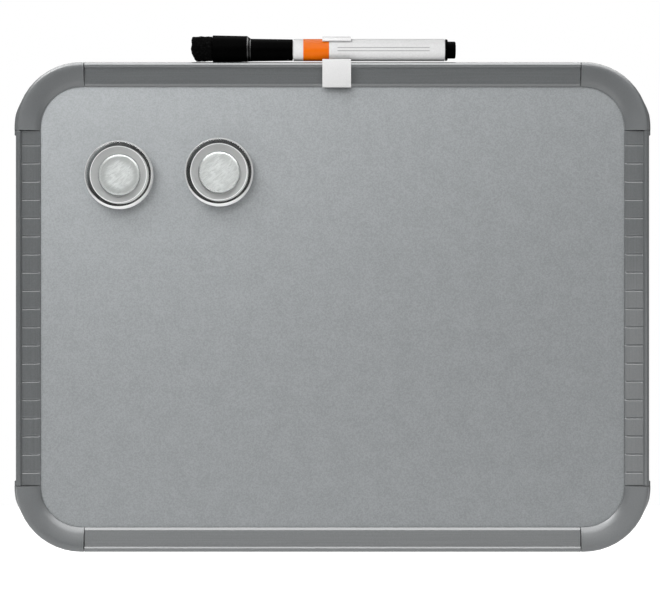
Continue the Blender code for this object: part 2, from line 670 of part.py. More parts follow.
def make_marker_cap(marker):
    """The cap with its thick off-centre head, and the worn felt eraser in the head's end."""
    cap_axis = axis_empty("cap_axis", (0, 0, 0), marker)
    root = CAP_RADIUS + SLEEVE_TAPER
    shoulder = root + SHOULDER_RISE
    sleeve = [
        (0, -SEAT_GAP),
        (CAP_RADIUS, -SEAT_GAP),
        (root, -SLEEVE_LENGTH),
        (shoulder, -HEAD_START),
        (shoulder, -HEAD_START - SHOULDER_LENGTH),
        (0, -HEAD_START - SHOULDER_LENGTH),
    ]
    cap = turned("marker_cap", sleeve, MARKER_STEPS)
    near = HEAD_RADIUS - HEAD_TAPER
    head = [
        (0, -HEAD_START),
        (near - HEAD_EDGE, -HEAD_START),
        (near, -HEAD_START - HEAD_EDGE),
        (HEAD_RADIUS, HEAD_EDGE - HEAD_END),
        (HEAD_RADIUS - HEAD_EDGE, -HEAD_END),
        (0, -HEAD_END),
    ]
    lift = (-HEAD_RISE, 0, 0)
    combine(cap, place(turned("cap_head", head, MARKER_STEPS), location=lift), "UNION")
    floor = -NIB_TIP - NIB_ROOM
    bore = [(0, CUT_OVERRUN), (CAP_BORE, CUT_OVERRUN), (CAP_BORE, floor), (0, floor)]
    combine(cap, turned("cap_bore", bore, MARKER_STEPS), "DIFFERENCE")
    pocket_radius = FELT_SPIGOT_RADIUS + SEAT_GAP
    inside = FELT_SPIGOT + SEAT_GAP - HEAD_END
    outside = -HEAD_END - CUT_OVERRUN
    pocket = [(0, inside), (pocket_radius, inside), (pocket_radius, outside), (0, outside)]
    hollow = place(turned("felt_pocket", pocket, MARKER_STEPS), location=lift)
    combine(cap, hollow, "DIFFERENCE")
    place(cap, black_plastic, cap_axis)

    seat = -HEAD_END - SEAT_GAP
    end = -HEAD_END - FELT_LENGTH
    profile = [
        (0, FELT_SPIGOT - HEAD_END),
        (FELT_SPIGOT_RADIUS, FELT_SPIGOT - HEAD_END),
        (FELT_SPIGOT_RADIUS, seat),
        (FELT_RADIUS, seat),
    ]
    profile += arc((FELT_RADIUS - FELT_ROUND, end + FELT_ROUND), FELT_ROUND, 0, -90, EDGE_STEPS)
    profile += [(0, end)]
    felt = turned("eraser_felt", profile, MARKER_STEPS)
    reach = 2 * FELT_RADIUS
    wear = block("felt_wear", (0, -reach, -reach), (reach, reach, 0))
    place(wear, location=(0, 0, end), rotation=(0, -WEAR_ANGLE, 0))
    combine(felt, wear, "DIFFERENCE")
    place(felt, black_felt, cap_axis, location=lift)


def glass_profile():
    """Glass body from the middle of its front round to the pocket in its back."""
    pocket = FOIL_RADIUS + SEAT_GAP
    front = (GLASS_RADIUS - GLASS_ROUND, GLASS_HEIGHT - GLASS_ROUND)
    profile = [(0, GLASS_HEIGHT)]
    profile += arc(front, GLASS_ROUND, 90, 0, EDGE_STEPS)
    profile += [(GLASS_RADIUS, GLASS_CHAMFER), (GLASS_RADIUS - GLASS_CHAMFER, 0)]
    profile += [(pocket, 0), (pocket, POCKET_DEPTH), (0, POCKET_DEPTH)]
    return profile


def make_glass_magnet(name, x, z):
    """A glass disc on the writing sheet, with a foil disc and a magnet let into its back."""
    rest = FRONT_Y + SHEET_FRONT - SEAT_GAP
    seat = axis_empty(name + "_axis", (x, rest, z), rotation=(90, 0, 0))
    place(turned(name + "_glass", glass_profile(), GLASS_STEPS), clear_glass, seat)

    back = MAGNET_THICKNESS + SEAT_GAP
    front = back + FOIL_THICKNESS
    profile = [(0, front), (FOIL_RADIUS, front), (FOIL_RADIUS, back), (0, back)]
    place(turned(name + "_foil", profile, GLASS_STEPS), spun_foil, seat)

    edge = FOIL_RADIUS - MAGNET_EDGE
    profile = [
        (0, MAGNET_THICKNESS),
        (edge, MAGNET_THICKNESS),
        (FOIL_RADIUS, MAGNET_THICKNESS - MAGNET_EDGE),
        (FOIL_RADIUS, MAGNET_EDGE),
        (edge, 0),
        (0, 0),
    ]
    place(turned(name + "_disc", profile, MARKER_STEPS), ferrite, seat)


for leftover in list(bpy.data.objects):
    bpy.data.objects.remove(leftover)
parts = collection("whiteboard")
cutters = collection("cutters")

silver_enamel = finish("silver_enamel", srgb(163, 167, 168), 0.45)
fibreboard = finish("fibreboard", srgb(139, 105, 72), 0.85)
grey_card = finish("grey_card", srgb(150, 150, 148), 0.8)
grey_paint = finish("grey_paint", srgb(112, 116, 117), 0.4)
cap_plastic = finish("cap_plastic", srgb(117, 121, 122), 0.38)
white_foam = finish("white_foam", srgb(232, 232, 226), 0.9)
white_plastic = finish("white_plastic", srgb(228, 228, 228), 0.35)
white_barrel = finish("white_barrel", srgb(230, 230, 230), 0.3)
black_plastic = finish("black_plastic", srgb(14, 14, 16), 0.25)
black_felt = finish("black_felt", srgb(24, 24, 25), 1.0)
ink_fibre = finish("ink_fibre", srgb(20, 20, 24), 0.95)
clear_glass = finish("clear_glass", srgb(226, 234, 232), 0.05)
spun_foil = finish("spun_foil", srgb(208, 210, 210), 0.35, 0.9)
ferrite = finish("ferrite", srgb(48, 48, 50), 0.5)

make_panel()
make_rails()
make_corner_caps()
make_wall_pads()
clip_carriage = make_clip()
marker_axis = make_marker(clip_carriage)
make_marker_cap(marker_axis)
for magnet_name, (in_from_left, down_from_top) in MAGNET_PLACES.items():
    make_glass_magnet(magnet_name, in_from_left - HALF_WIDTH, HALF_HEIGHT - down_from_top)
bpy.context.view_layer.update()
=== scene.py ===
# %% [markdown]
# # A small magnetic whiteboard
#
# The object is a silver-grey panel in a grey frame with round corners. A white clip on the top
# rail holds a capped marker, and two glass magnets sit on the panel. The solids come packed from
# the CAD step, in metres, with the wall plane at y = 0 and the writing side facing -Y. This
# script loads them as a fixed frame and gives them their looks. Everything that is added here
# is placed in the same coordinates, so nothing has to be fitted by eye.

import json
import math

import bmesh
import bpy
from mathutils import Matrix, Vector, noise

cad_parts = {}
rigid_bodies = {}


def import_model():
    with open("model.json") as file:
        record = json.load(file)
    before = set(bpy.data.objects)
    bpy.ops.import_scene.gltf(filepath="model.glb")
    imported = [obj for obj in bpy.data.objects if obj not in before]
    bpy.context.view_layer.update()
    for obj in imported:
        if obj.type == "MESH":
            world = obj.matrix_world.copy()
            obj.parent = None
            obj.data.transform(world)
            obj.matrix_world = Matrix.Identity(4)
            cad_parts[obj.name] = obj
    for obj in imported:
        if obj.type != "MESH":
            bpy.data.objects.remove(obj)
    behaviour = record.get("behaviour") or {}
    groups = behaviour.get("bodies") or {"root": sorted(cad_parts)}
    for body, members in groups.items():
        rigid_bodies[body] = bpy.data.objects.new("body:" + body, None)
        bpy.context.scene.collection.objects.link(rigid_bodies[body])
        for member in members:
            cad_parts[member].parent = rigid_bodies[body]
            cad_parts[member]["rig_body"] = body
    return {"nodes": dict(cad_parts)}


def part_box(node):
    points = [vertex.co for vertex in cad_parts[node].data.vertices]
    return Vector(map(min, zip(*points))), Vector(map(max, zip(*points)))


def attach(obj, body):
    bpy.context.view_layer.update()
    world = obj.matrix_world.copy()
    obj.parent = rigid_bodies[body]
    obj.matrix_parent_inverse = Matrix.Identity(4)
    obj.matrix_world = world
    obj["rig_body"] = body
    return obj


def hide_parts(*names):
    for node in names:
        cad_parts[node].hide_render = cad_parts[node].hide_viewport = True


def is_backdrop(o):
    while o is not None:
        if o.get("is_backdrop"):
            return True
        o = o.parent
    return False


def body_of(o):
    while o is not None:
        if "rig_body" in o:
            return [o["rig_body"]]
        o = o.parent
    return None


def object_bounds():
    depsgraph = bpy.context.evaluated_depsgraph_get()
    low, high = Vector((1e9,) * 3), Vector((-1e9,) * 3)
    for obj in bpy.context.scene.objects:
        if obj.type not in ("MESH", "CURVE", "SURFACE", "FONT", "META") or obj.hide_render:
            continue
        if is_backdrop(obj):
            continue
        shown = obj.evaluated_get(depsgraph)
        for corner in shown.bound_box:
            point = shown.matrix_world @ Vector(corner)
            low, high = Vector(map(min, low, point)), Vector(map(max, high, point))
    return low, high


MM = 0.001
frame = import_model()
cad_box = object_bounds()

# %% [markdown]
# ## The camera
#
# A catalogue shot of a flat thing is taken square on, from far enough away that the marker in
# front of the rail doesn't grow. A long lens 0.8 m away does that, and the board then fills
# the picture's width with a little white on both sides.

# %% Place the camera
LENS = 100.0
CAMERA_PLACE = (-1.1 * MM, -818.6 * MM, 5.3 * MM)
FRAME_FRONT = -11.6 * MM

camera_data = bpy.data.cameras.new("camera")
camera_data.lens = LENS
camera = bpy.data.objects.new("camera", camera_data)
camera.location = CAMERA_PLACE
camera.rotation_euler = (math.radians(90), 0, 0)
bpy.context.scene.collection.objects.link(camera)
bpy.context.scene.camera = camera
bpy.context.scene.view_settings.view_transform = "Standard"
view_width = camera_data.sensor_width / LENS * (FRAME_FRONT - CAMERA_PLACE[1])
print("the view is", round(view_width, 4), "m wide at the frame")

# %% [markdown]
# ## Shader maths as plain sums
#
# A finish with grain in it is a formula: take some noise, stretch it, mix two colours by it.
# Drawn as nodes, such a formula is hard to read, so this class wraps the output of a node and
# overloads the operators. `0.4 + 0.1 * grain` then adds the two Math nodes that it needs.
# Numbers go through Math nodes. Colours and vectors go through Vector Math, because a Math
# node would turn a colour grey.

# %% A socket that takes part in sums
class Term:
    """One output of a shader node, used in sums as a number or a colour would be."""

    def __init__(self, nodes, socket):
        self.nodes = nodes
        self.socket = socket

    def sum(self, operation, first, second):
        """Joins two values, one of which is this one, by a Math or a Vector Math node."""
        kinds = [value.socket.type for value in (first, second) if isinstance(value, Term)]
        if all(kind == "VALUE" for kind in kinds) and not isinstance(second, tuple):
            return self.nodes.add("Math", {"operation": operation}, {0: first, 1: second})
        pair = [
            value if isinstance(value, (Term, tuple)) else (value,) * 3
            for value in (first, second)
        ]
        return self.nodes.add("VectorMath", {"operation": operation}, {0: pair[0], 1: pair[1]})

    def __add__(self, other):
        return self.sum("ADD", self, other)

    def __radd__(self, other):
        return self.sum("ADD", other, self)

    def __sub__(self, other):
        return self.sum("SUBTRACT", self, other)

    def __rsub__(self, other):
        return self.sum("SUBTRACT", other, self)

    def __mul__(self, other):
        return self.sum("MULTIPLY", self, other)

    def __rmul__(self, other):
        return self.sum("MULTIPLY", other, self)

    def size(self):
        """A number without its sign."""
        return self.nodes.add("Math", {"operation": "ABSOLUTE"}, {0: self})

    def rise(self, low, high):
        """Climbs smoothly from 0 to 1 as this number goes from low to high."""
        ends = {"Value": self, "From Min": low, "From Max": high}
        return self.nodes.add("MapRange", {"interpolation_type": "SMOOTHSTEP"}, ends)

    def spread(self):
        """Noise, which seldom leaves the middle of its range, drawn out over 0 to 1."""
        return self.rise(0.3, 0.7)

    def mix(self, nought, one):
        """Goes from one colour to another as this number goes from 0 to 1."""
        colours = {"Factor": self, "A": nought, "B": one}
        return self.nodes.add("Mix", {"data_type": "RGBA"}, colours)


# %% [markdown]
# ## One way to add any node
#
# Every other node comes from one method. It takes the node's type, then its settings, which
# have to be set first because they decide which sockets it shows, and then what goes into its
# sockets. A finish is such a set of nodes around one Principled shader. Object coordinates are
# the frame's own metres on every piece here, so a grain of 0.8 mm is that size on all of them.

# %% Nodes, and a finish made of them
class Nodes:
    """A node tree, with one way to add to it."""

    def __init__(self, tree):
        self.tree = tree

    def add(self, kind, settings=None, values=None, output=None):
        """Adds a node: settings first, then values or links, by the socket's name or number."""
        made = self.tree.nodes.new("ShaderNode" + kind)
        for name, value in (settings or {}).items():
            setattr(made, name, value)
        for key, value in (values or {}).items():
            shown = [socket for socket in made.inputs if socket.enabled]
            named = [socket for socket in shown if socket.name == key]
            self.put(named[0] if named else shown[key], value)
        shown = [socket for socket in made.outputs if socket.enabled]
        named = [socket for socket in shown if socket.name == output]
        return Term(self, (named or shown)[0])

    def put(self, socket, value):
        """Links a term to a socket, or sets the socket to a plain value."""
        if isinstance(value, Term):
            self.tree.links.new(value.socket, socket)
        else:
            socket.default_value = value


class Finish(Nodes):
    """A material with one Principled shader."""

    def __init__(self, name, **constants):
        self.material = bpy.data.materials.new(name)
        self.material.use_nodes = True
        super().__init__(self.material.node_tree)
        self.shader = self.tree.nodes["Principled BSDF"]
        self.feed(**constants)
        self.place = self.add("TexCoord", output="Object")

    def feed(self, **values):
        """Sets or links sockets of the shader, with _ for the spaces in their names."""
        for name, value in values.items():
            self.put(self.shader.inputs[name.replace("_", " ")], value)

    def axis(self, letter):
        """One coordinate of the place on the piece."""
        return self.add("SeparateXYZ", values={"Vector": self.place}, output=letter)

    def grain(self, size, detail=2.0, place=None, distortion=0.0):
        """Noise with spots of about this size in metres."""
        values = {
            "Vector": place or self.place,
            "Scale": 1 / size,
            "Detail": detail,
            "Distortion": distortion,
        }
        return self.add("TexNoise", values=values, output="Factor")

    def emboss(self, height, depth):
        """A bump as deep as this, in metres, where the height is 1."""
        values = {"Height": height, "Distance": depth, "Strength": 1.0}
        self.feed(Normal=self.add("Bump", values=values))


# %% Colours
def srgb(red, green, blue):
    """A colour given as 8-bit display values, in the linear values that a shader takes."""
    shares = [value / 255 for value in (red, green, blue)]
    linear = [s / 12.92 if s <= 0.04045 else ((s + 0.055) / 1.055) ** 2.4 for s in shares]
    return (*linear, 1.0)


def grey(level, tint=0):
    """A grey as an 8-bit display value, a little cooler or warmer by a few levels."""
    return srgb(level - tint, level, level + tint / 2)


print("a middle grey of 128 is", round(grey(128)[0], 3), "in linear light")

# %% [markdown]
# ## The stage
#
# The board hangs over a pale floor that takes its shadow. The background is white: for camera
# rays the world has a strength of 1. A lower strength lights the object and shows in its gloss
# and glass, which keeps the black plastic black and gives the glass its dark edges. The floor
# glows, as white paper does on a light table. That lights the undersides of the rails and the
# marker. A little more of the glow is for camera rays alone, so that the floor is as white as
# the background except where the shadow falls.

# %% Floor and world
FLOOR_HEIGHT = -170 * MM
FLOOR_SIDE = 1.4
FLOOR_GLOW = 0.5
SEEN_GLOW = 0.25
SKY_LIGHT = 0.4

floor_shape = bmesh.new()
bmesh.ops.create_grid(floor_shape, x_segments=2, y_segments=2, size=FLOOR_SIDE / 2)
floor_mesh = bpy.data.meshes.new("floor")
floor_shape.to_mesh(floor_mesh)
floor_shape.free()
floor = bpy.data.objects.new("floor", floor_mesh)
floor.location = (0, 0, FLOOR_HEIGHT)
bpy.context.scene.collection.objects.link(floor)
floor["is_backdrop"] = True

floor_finish = Finish("pale_floor", Base_Color=grey(238), Roughness=0.9)
floor_seen = floor_finish.add("LightPath", output="Is Camera Ray")
floor_finish.feed(
    Emission_Color=srgb(255, 255, 255),
    Emission_Strength=FLOOR_GLOW + SEEN_GLOW * floor_seen,
)
floor_mesh.materials.append(floor_finish.material)

world = bpy.data.worlds.new("white_studio")
world.use_nodes = True
bpy.context.scene.world = world
sky = Nodes(world.node_tree)
shows = sky.add("LightPath", output="Is Camera Ray")
background = world.node_tree.nodes["Background"]
background.inputs["Color"].default_value = srgb(255, 255, 255)
sky.put(background.inputs["Strength"], SKY_LIGHT + (1 - SKY_LIGHT) * shows)
print("floor", round(FLOOR_HEIGHT / MM), "mm, sky light", SKY_LIGHT)

# %% [markdown]
# ## Light
#
# Two things in the photograph show where its light came from. The upward edges of the rails
# are almost white while the marker is nearly as bright below as above. So most of the light was
# even, and a wide bright panel overhead showed in whatever gloss faced up. Here that panel is
# seen by glossy and transmitted rays only, as a stand-in for a softbox that is far too close to
# light things evenly. Soft shadows fall to the lower right, so a large lamp stands far off at
# the upper left. And the sheet has a broad sheen at its upper left, which takes a smaller lamp
# on that side, not far from the camera. Neither lamp is seen through glass, where it would
# break up into bright specks. Two weak lamps are for a few pieces each, as a later step says: a
# reflector at the lower right that shows in the frame's gloss, and a bounce from below.

# %% Lamps
def lamp(name, place, aim, size, watts, lights=True, through_glass=True):
    """A soft lamp that points at a place. It can be left out of diffuse light or of glass."""
    data = bpy.data.lights.new(name, "AREA")
    data.shape = "RECTANGLE"
    data.size, data.size_y = size
    data.energy = watts
    made = bpy.data.objects.new(name, data)
    made.visible_camera = False
    made.visible_diffuse = lights
    made.visible_transmission = through_glass
    made.location = place
    made.rotation_euler = (Vector(aim) - Vector(place)).to_track_quat("-Z", "Y").to_euler()
    bpy.context.scene.collection.objects.link(made)
    return made


lamp("from_above", (-1.0, -0.9, 1.3), (0, 0, 0), (0.9, 0.6), 15.0, through_glass=False)
sheen = lamp("sheen", (-0.31, -0.8, 0.30), (0, 0, 0), (0.55, 0.45), 2.6, through_glass=False)
lamp("overhead", (0, -0.75, 0.7), (0, -0.75, 0), (1.4, 2.2), 46.0, lights=False)
reflector = lamp(
    "reflector", (0.06, -0.83, -0.17), (0, 0, -0.05), (0.75, 0.4), 0.8, lights=False
)
bounce = lamp("bounce", (0, -0.28, -0.13), (0, 0, 0.11), (0.4, 0.1), 0.27)
print(len(bpy.data.lights), "lamps")

# %% [markdown]
# ## The writing sheet
#
# The real panel is a steel sheet with a baked dry-wipe coating. Up close it shows a fine grain
# of silver flakes under a smooth clear layer, and from a step away soft, cloudy unevenness. The
# flakes are noise of about half a millimetre. They change the colour a little and the roughness
# more, which makes them sparkle when the light moves. The solid is a flat sheet already, so it
# only gets the finish.

# %% Silver enamel
def dress(finish, *nodes):
    """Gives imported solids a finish."""
    for node in nodes:
        for material_slot in frame["nodes"][node].material_slots:
            material_slot.material = finish.material
    print(finish.material.name, "on", ", ".join(nodes))


FLAKE = 0.55 * MM
enamel = Finish("silver_enamel", Metallic=0.45, Specular_IOR_Level=0.4)
flakes = enamel.grain(FLAKE, detail=3)
clouds = enamel.grain(9 * MM, detail=4)
blend = 0.8 * flakes.spread() + 0.2 * clouds.spread()
enamel.feed(Base_Color=blend.mix(grey(122, 3), grey(137, 3)), Roughness=0.36 + 0.12 * flakes)
enamel.emboss(flakes, 0.004 * MM)
dress(enamel, "writing_sheet")

# %% [markdown]
# ## The back
#
# Nobody looks at the back of a wall board, so real ones close it with plain card over a light
# core. The card is made of short fibres: noise that is stretched along X, with a few darker
# specks. The core only shows as a thin line at an open joint, if at all.

# %% Card and core
card = Finish("grey_card", Roughness=0.85)
fibres = card.grain(1.0 * MM, detail=4, place=card.place * (0.35, 1.0, 1.0))
specks = card.grain(1.6 * MM, detail=1).rise(0.66, 0.74)
mottle = card.grain(22 * MM, detail=3)
paper = (0.6 * fibres + 0.4 * mottle).spread().mix(grey(141), grey(160))
card.feed(Base_Color=(0.5 * specks).mix(paper, grey(104)))
card.emboss(fibres, 0.03 * MM)
dress(card, "back_sheet")

core = Finish("fibreboard", Roughness=0.9)
chips = core.grain(1.4 * MM, detail=4, place=core.place * (0.4, 1.0, 1.0))
core.feed(Base_Color=chips.spread().mix(srgb(122, 90, 60), srgb(156, 122, 86)))
core.emboss(chips, 0.08 * MM)
dress(core, "core_board")

# %% [markdown]
# ## Frame rails and corner caps
#
# The rails are one grey profile cut to length, and the caps are moulded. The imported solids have
# the right section, but their edges are perfectly sharp and their curves are faceted. A copy is
# welded, its flat neighbours are joined into whole faces, and a Bevel modifier rounds its edges
# by a tenth of a millimetre, because a real edge always catches a thin line of light. The same
# way serves every moulded piece whose solid already has its full form.

# %% Softened copies of solids
WELD = 0.001 * MM
FLAT_WITHIN = math.radians(0.4)
SMOOTH_BELOW = math.radians(25)
EDGE_STEPS = 2


def new_piece(name, mesh, finish, node):
    """Makes a shown piece of a mesh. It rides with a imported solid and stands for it."""
    mesh.shade_smooth()
    mesh.set_sharp_from_angle(angle=SMOOTH_BELOW)
    mesh.materials.clear()
    mesh.materials.append(finish.material)
    made = bpy.data.objects.new(name, mesh)
    bpy.context.scene.collection.objects.link(made)
    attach(made, body_of(frame["nodes"][node])[0])
    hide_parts(node)
    print(f"{name}: {len(mesh.polygons)} faces for {node}")
    return made


def softened(node, name, finish, width):
    """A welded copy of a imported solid, with its edges rounded by a modifier."""
    source = frame["nodes"][node].data
    copy = bpy.data.meshes.new(name)
    copy.from_pydata(
        [vertex.co for vertex in source.vertices],
        [],
        [polygon.vertices for polygon in source.polygons],
    )
    shape = bmesh.new()
    shape.from_mesh(copy)
    bmesh.ops.remove_doubles(shape, verts=shape.verts, dist=WELD)
    bmesh.ops.dissolve_limit(
        shape, angle_limit=FLAT_WITHIN, verts=shape.verts, edges=shape.edges
    )
    shape.to_mesh(copy)
    shape.free()
    made = new_piece(name, copy, finish, node)
    edges = made.modifiers.new("soft_edges", "BEVEL")
    edges.width = width
    edges.segments = EDGE_STEPS
    edges.angle_limit = SMOOTH_BELOW
    edges.harden_normals = True
    return made


# %% [markdown]
# ## The frame's finish
#
# The profile has a satin grey skin with faint drawing lines along its length. They are noise
# that is stretched a hundred times along the rail, so the top and bottom rails need other
# factors than the side rails. A clear coat lies over it: its gloss is what makes the thin white
# lines along the lips and in the grooves. The caps have the even, fine texture of a sparked
# mould instead, are a shade lighter and have a duller coat, which spreads the light over their
# curved faces.

# %% Painted profile and moulded plastic
def profile_finish(name, stretch, low, high):
    """Satin grey with faint lines along the rail."""
    made = Finish(name, Specular_IOR_Level=0.3, Coat_Weight=1.0, Coat_IOR=1.7, Coat_Roughness=0.12)
    lines = made.grain(0.35 * MM, detail=2, place=made.place * stretch)
    grain = made.grain(0.6 * MM, detail=3)
    blend = 0.5 * lines + 0.5 * grain
    made.feed(Base_Color=blend.spread().mix(low, high), Roughness=0.32 + 0.12 * blend)
    made.emboss(blend, 0.004 * MM)
    return made


def moulded_finish(name, low, high, shine, grain_size, depth, **constants):
    """Plastic with the fine texture that it took from its mould."""
    made = Finish(name, **constants)
    texture = made.grain(grain_size, detail=3)
    flow = made.grain(14 * MM, detail=2)
    blend = 0.6 * texture.spread() + 0.4 * flow.spread()
    made.feed(Base_Color=blend.mix(low, high), Roughness=shine + 0.14 * texture)
    made.emboss(texture, depth)
    return made


# %% Rails and caps
RAIL_EDGE = 0.12 * MM
CAP_EDGE = 0.3 * MM
GROOVED_EDGE = 0.16 * MM

across_finish = profile_finish("grey_paint_across", (0.01, 1.0, 1.0), grey(88, 3), grey(98, 3))
upright_finish = profile_finish("grey_paint_upright", (1.0, 1.0, 0.01), grey(88, 3), grey(98, 3))
cap_finish = moulded_finish(
    "cap_plastic", grey(87, 3), grey(97, 3), 0.3, 0.4 * MM, 0.004 * MM, Specular_IOR_Level=0.3,
    Coat_Weight=1.0, Coat_IOR=1.6, Coat_Roughness=0.34
)
for node in ("top_rail", "bottom_rail"):
    softened(node, node + "_profile", across_finish, RAIL_EDGE)
for node in ("left_rail", "right_rail"):
    softened(node, node + "_profile", upright_finish, GROOVED_EDGE)
for node in ("top_left_cap", "top_right_cap", "bottom_left_cap", "bottom_right_cap"):
    softened(node, node + "_shell", cap_finish, CAP_EDGE)

# %% [markdown]
# ## The pen clip
#
# The clip is a short piece of white plastic profile: a plate in front of the rail, a thin
# saddle over it, a leg behind it and an open ring that snaps round the marker. It is a copy of
# its solid too.

# %% White clip
white_finish = moulded_finish(
    "white_plastic", grey(196), grey(204), 0.32, 0.5 * MM, 0.006 * MM, Specular_IOR_Level=0.5
)
softened("pen_clip", "pen_clip_body", white_finish, 0.08 * MM)

# %% [markdown]
# ## Foam pads
#
# Self-adhesive foam holds the board on the wall. A pad is cut from a sheet, so its faces are
# flat, its sides draw in a little at half thickness, and its cut cells show as pores. The pores
# are the middles of Voronoi cells, deeper than the walls between them and painted darker, which
# is painted shade in the hollows. The body is a stack of rounded rectangles, each a little
# smaller towards the middle of the thickness, with faces from each ring of points to the next.

# %% Foam
PORE = 0.5 * MM

foam_finish = Finish("white_foam", Roughness=0.95, Specular_IOR_Level=0.2)
cells = foam_finish.add(
    "TexVoronoi", {"feature": "F1"}, {"Vector": foam_finish.place, "Scale": 1 / PORE}, "Distance"
)
# The darker grey in the pores is painted shade in the hollows; the same mask sets how deep they are.
pore_depth_and_shade = 1 - cells.rise(0.0, 0.45)
foam_finish.feed(Base_Color=(0.6 * pore_depth_and_shade).mix(grey(236), grey(196)))
foam_finish.emboss(1 - pore_depth_and_shade, 0.08 * MM)
print("pores of", PORE / MM, "mm")


# %% Rings of points, and the skin over them
def rounded_rectangle(width, height, radius, steps):
    """Outline about the origin, with an arc at each corner."""
    across, up = width / 2 - radius, height / 2 - radius
    outline = []
    for quarter, (x, z) in enumerate(((across, up), (-across, up), (-across, -up), (across, -up))):
        for step in range(steps + 1):
            angle = math.radians(90 * (quarter + step / steps))
            outline.append((x + radius * math.cos(angle), z + radius * math.sin(angle)))
    return outline


def mesh_of(name, shape):
    """A mesh from a bmesh, with its faces pointing out."""
    bmesh.ops.recalc_face_normals(shape, faces=shape.faces)
    made = bpy.data.meshes.new(name)
    shape.to_mesh(made)
    shape.free()
    return made


def skin(shape, rings):
    """Joins rings of vertices with quads and closes both ends."""
    for first, second in zip(rings, rings[1:]):
        count = len(first)
        for index in range(count):
            after = (index + 1) % count
            shape.faces.new((first[index], first[after], second[after], second[index]))
    shape.faces.new(rings[0])
    shape.faces.new(rings[-1])


# %% Pads
PAD_LAYERS = 8
PAD_WAIST = 0.5 * MM
WAIST_CURVE = 0.6
PAD_CORNER = 2.0 * MM
PAD_CORNER_STEPS = 8
LUMP = 1.5 * MM
LUMP_SHARE = 0.3
LUMP_DEPTH = 5 * MM


def make_pad(node):
    """A foam pad in the box of its solid."""
    low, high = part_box(node)
    size, middle = high - low, (low + high) / 2
    shape = bmesh.new()
    rings = []
    for layer in range(PAD_LAYERS + 1):
        share = layer / PAD_LAYERS
        waist = PAD_WAIST * math.sin(math.pi * share) ** WAIST_CURVE
        outline = rounded_rectangle(
            size.x - 2 * waist, size.z - 2 * waist, PAD_CORNER, PAD_CORNER_STEPS
        )
        ring = []
        for x, z in outline:
            lumps = noise.noise(Vector((x, share * LUMP_DEPTH, z)) / LUMP)
            point = Vector((middle.x + x, low.y + size.y * share, middle.z + z))
            wobble = Vector((x, 0, z)).normalized() * waist * LUMP_SHARE * lumps
            ring.append(shape.verts.new(point + wobble))
        rings.append(ring)
    skin(shape, rings)
    new_piece(node + "_foam", mesh_of(node + "_foam", shape), foam_finish, node)


for node in ("top_left_pad", "top_right_pad", "bottom_left_pad", "bottom_right_pad"):
    make_pad(node)

# %% [markdown]
# ## Turned pieces
#
# The marker and the magnets are round, so each is a profile of radius and height that is spun
# about an axis. A moulded or ground piece has no sharp corners: `eased` cuts each corner of the
# profile and puts a short curve there, which then shows as a soft highlight. A ring has as many
# points as its size needs to look round.

# %% Profiles and rings
RING_POINTS = 96
EASED_SHARE = 0.45


def eased(profile, radius, steps=4):
    """A profile with its inner corners rounded. A third value is a corner's own radius."""
    points = [Vector(point[:2]) for point in profile]
    made = [points[0]]
    for index in range(1, len(points) - 1):
        before, corner, after = points[index - 1 : index + 2]
        back, on = before - corner, after - corner
        own = profile[index][2] if len(profile[index]) > 2 else radius
        reach = min(own, back.length * EASED_SHARE, on.length * EASED_SHARE)
        start, end = corner + back.normalized() * reach, corner + on.normalized() * reach
        for step in range(steps + 1):
            share = step / steps
            bend = start * (1 - share) ** 2 + corner * 2 * share * (1 - share)
            made.append(bend + end * share**2)
    made.append(points[-1])
    return made


def spun(name, profile, place, segments, closed=False, rise=None):
    """A solid of revolution about the local Z of a place.

    Its profile ends on the axis, or is closed. The rise moves each ring along local -X by a
    length that depends on its height.
    """
    shape = bmesh.new()
    rings = []
    for radius, height in profile:
        shift = rise(height) if rise else 0
        if radius < WELD:
            rings.append([shape.verts.new(place @ Vector((-shift, 0, height)))])
            continue
        ring = []
        for step in range(segments):
            angle = 2 * math.pi * step / segments
            point = Vector((radius * math.cos(angle) - shift, radius * math.sin(angle), height))
            ring.append(shape.verts.new(place @ point))
        rings.append(ring)
    pairs = list(zip(rings, rings[1:]))
    if closed:
        pairs.append((rings[-1], rings[0]))
    for first, second in pairs:
        for index in range(segments):
            after = (index + 1) % segments
            corners = [first[index % len(first)], first[after % len(first)]]
            corners += [second[after % len(second)], second[index % len(second)]]
            distinct = list(dict.fromkeys(corners))
            if len(distinct) > 2:
                shape.faces.new(distinct)
    return mesh_of(name, shape)


# %% [markdown]
# ## The marker's barrel
#
# The barrel is a white tube with a thinner neck that the cap slides over. The plastic lets a
# little light through, so its shaded side stays pale, which is the shader's subsurface part
# with a reach of about a millimetre. Its print is plain: an orange band next to the cap, and
# two grey pinstripes along the front. The band depends only on the place along X. A stripe is a
# narrow range of the angle round the axis, which comes from the arctangent of the height over
# the depth.

# %% White plastic with its print
AXIS = Vector((0, -6.38 * MM, 113.78 * MM))
BARREL_RADIUS = 4.88 * MM
BAND = (-12.9 * MM, -1.5 * MM)
STRIPES = (2.2 * MM, 42.8 * MM)
STRIPE_HEIGHTS = (-0.9 * MM, 0.5 * MM)
STRIPE_WIDTH = 0.32 * MM
PRINT_EDGE = 0.06 * MM


def within(term, low, high, edge):
    """1 where a number is between two limits, 0 outside, with a soft edge."""
    return term.rise(low - edge, low + edge) * (1 - term.rise(high - edge, high + edge))


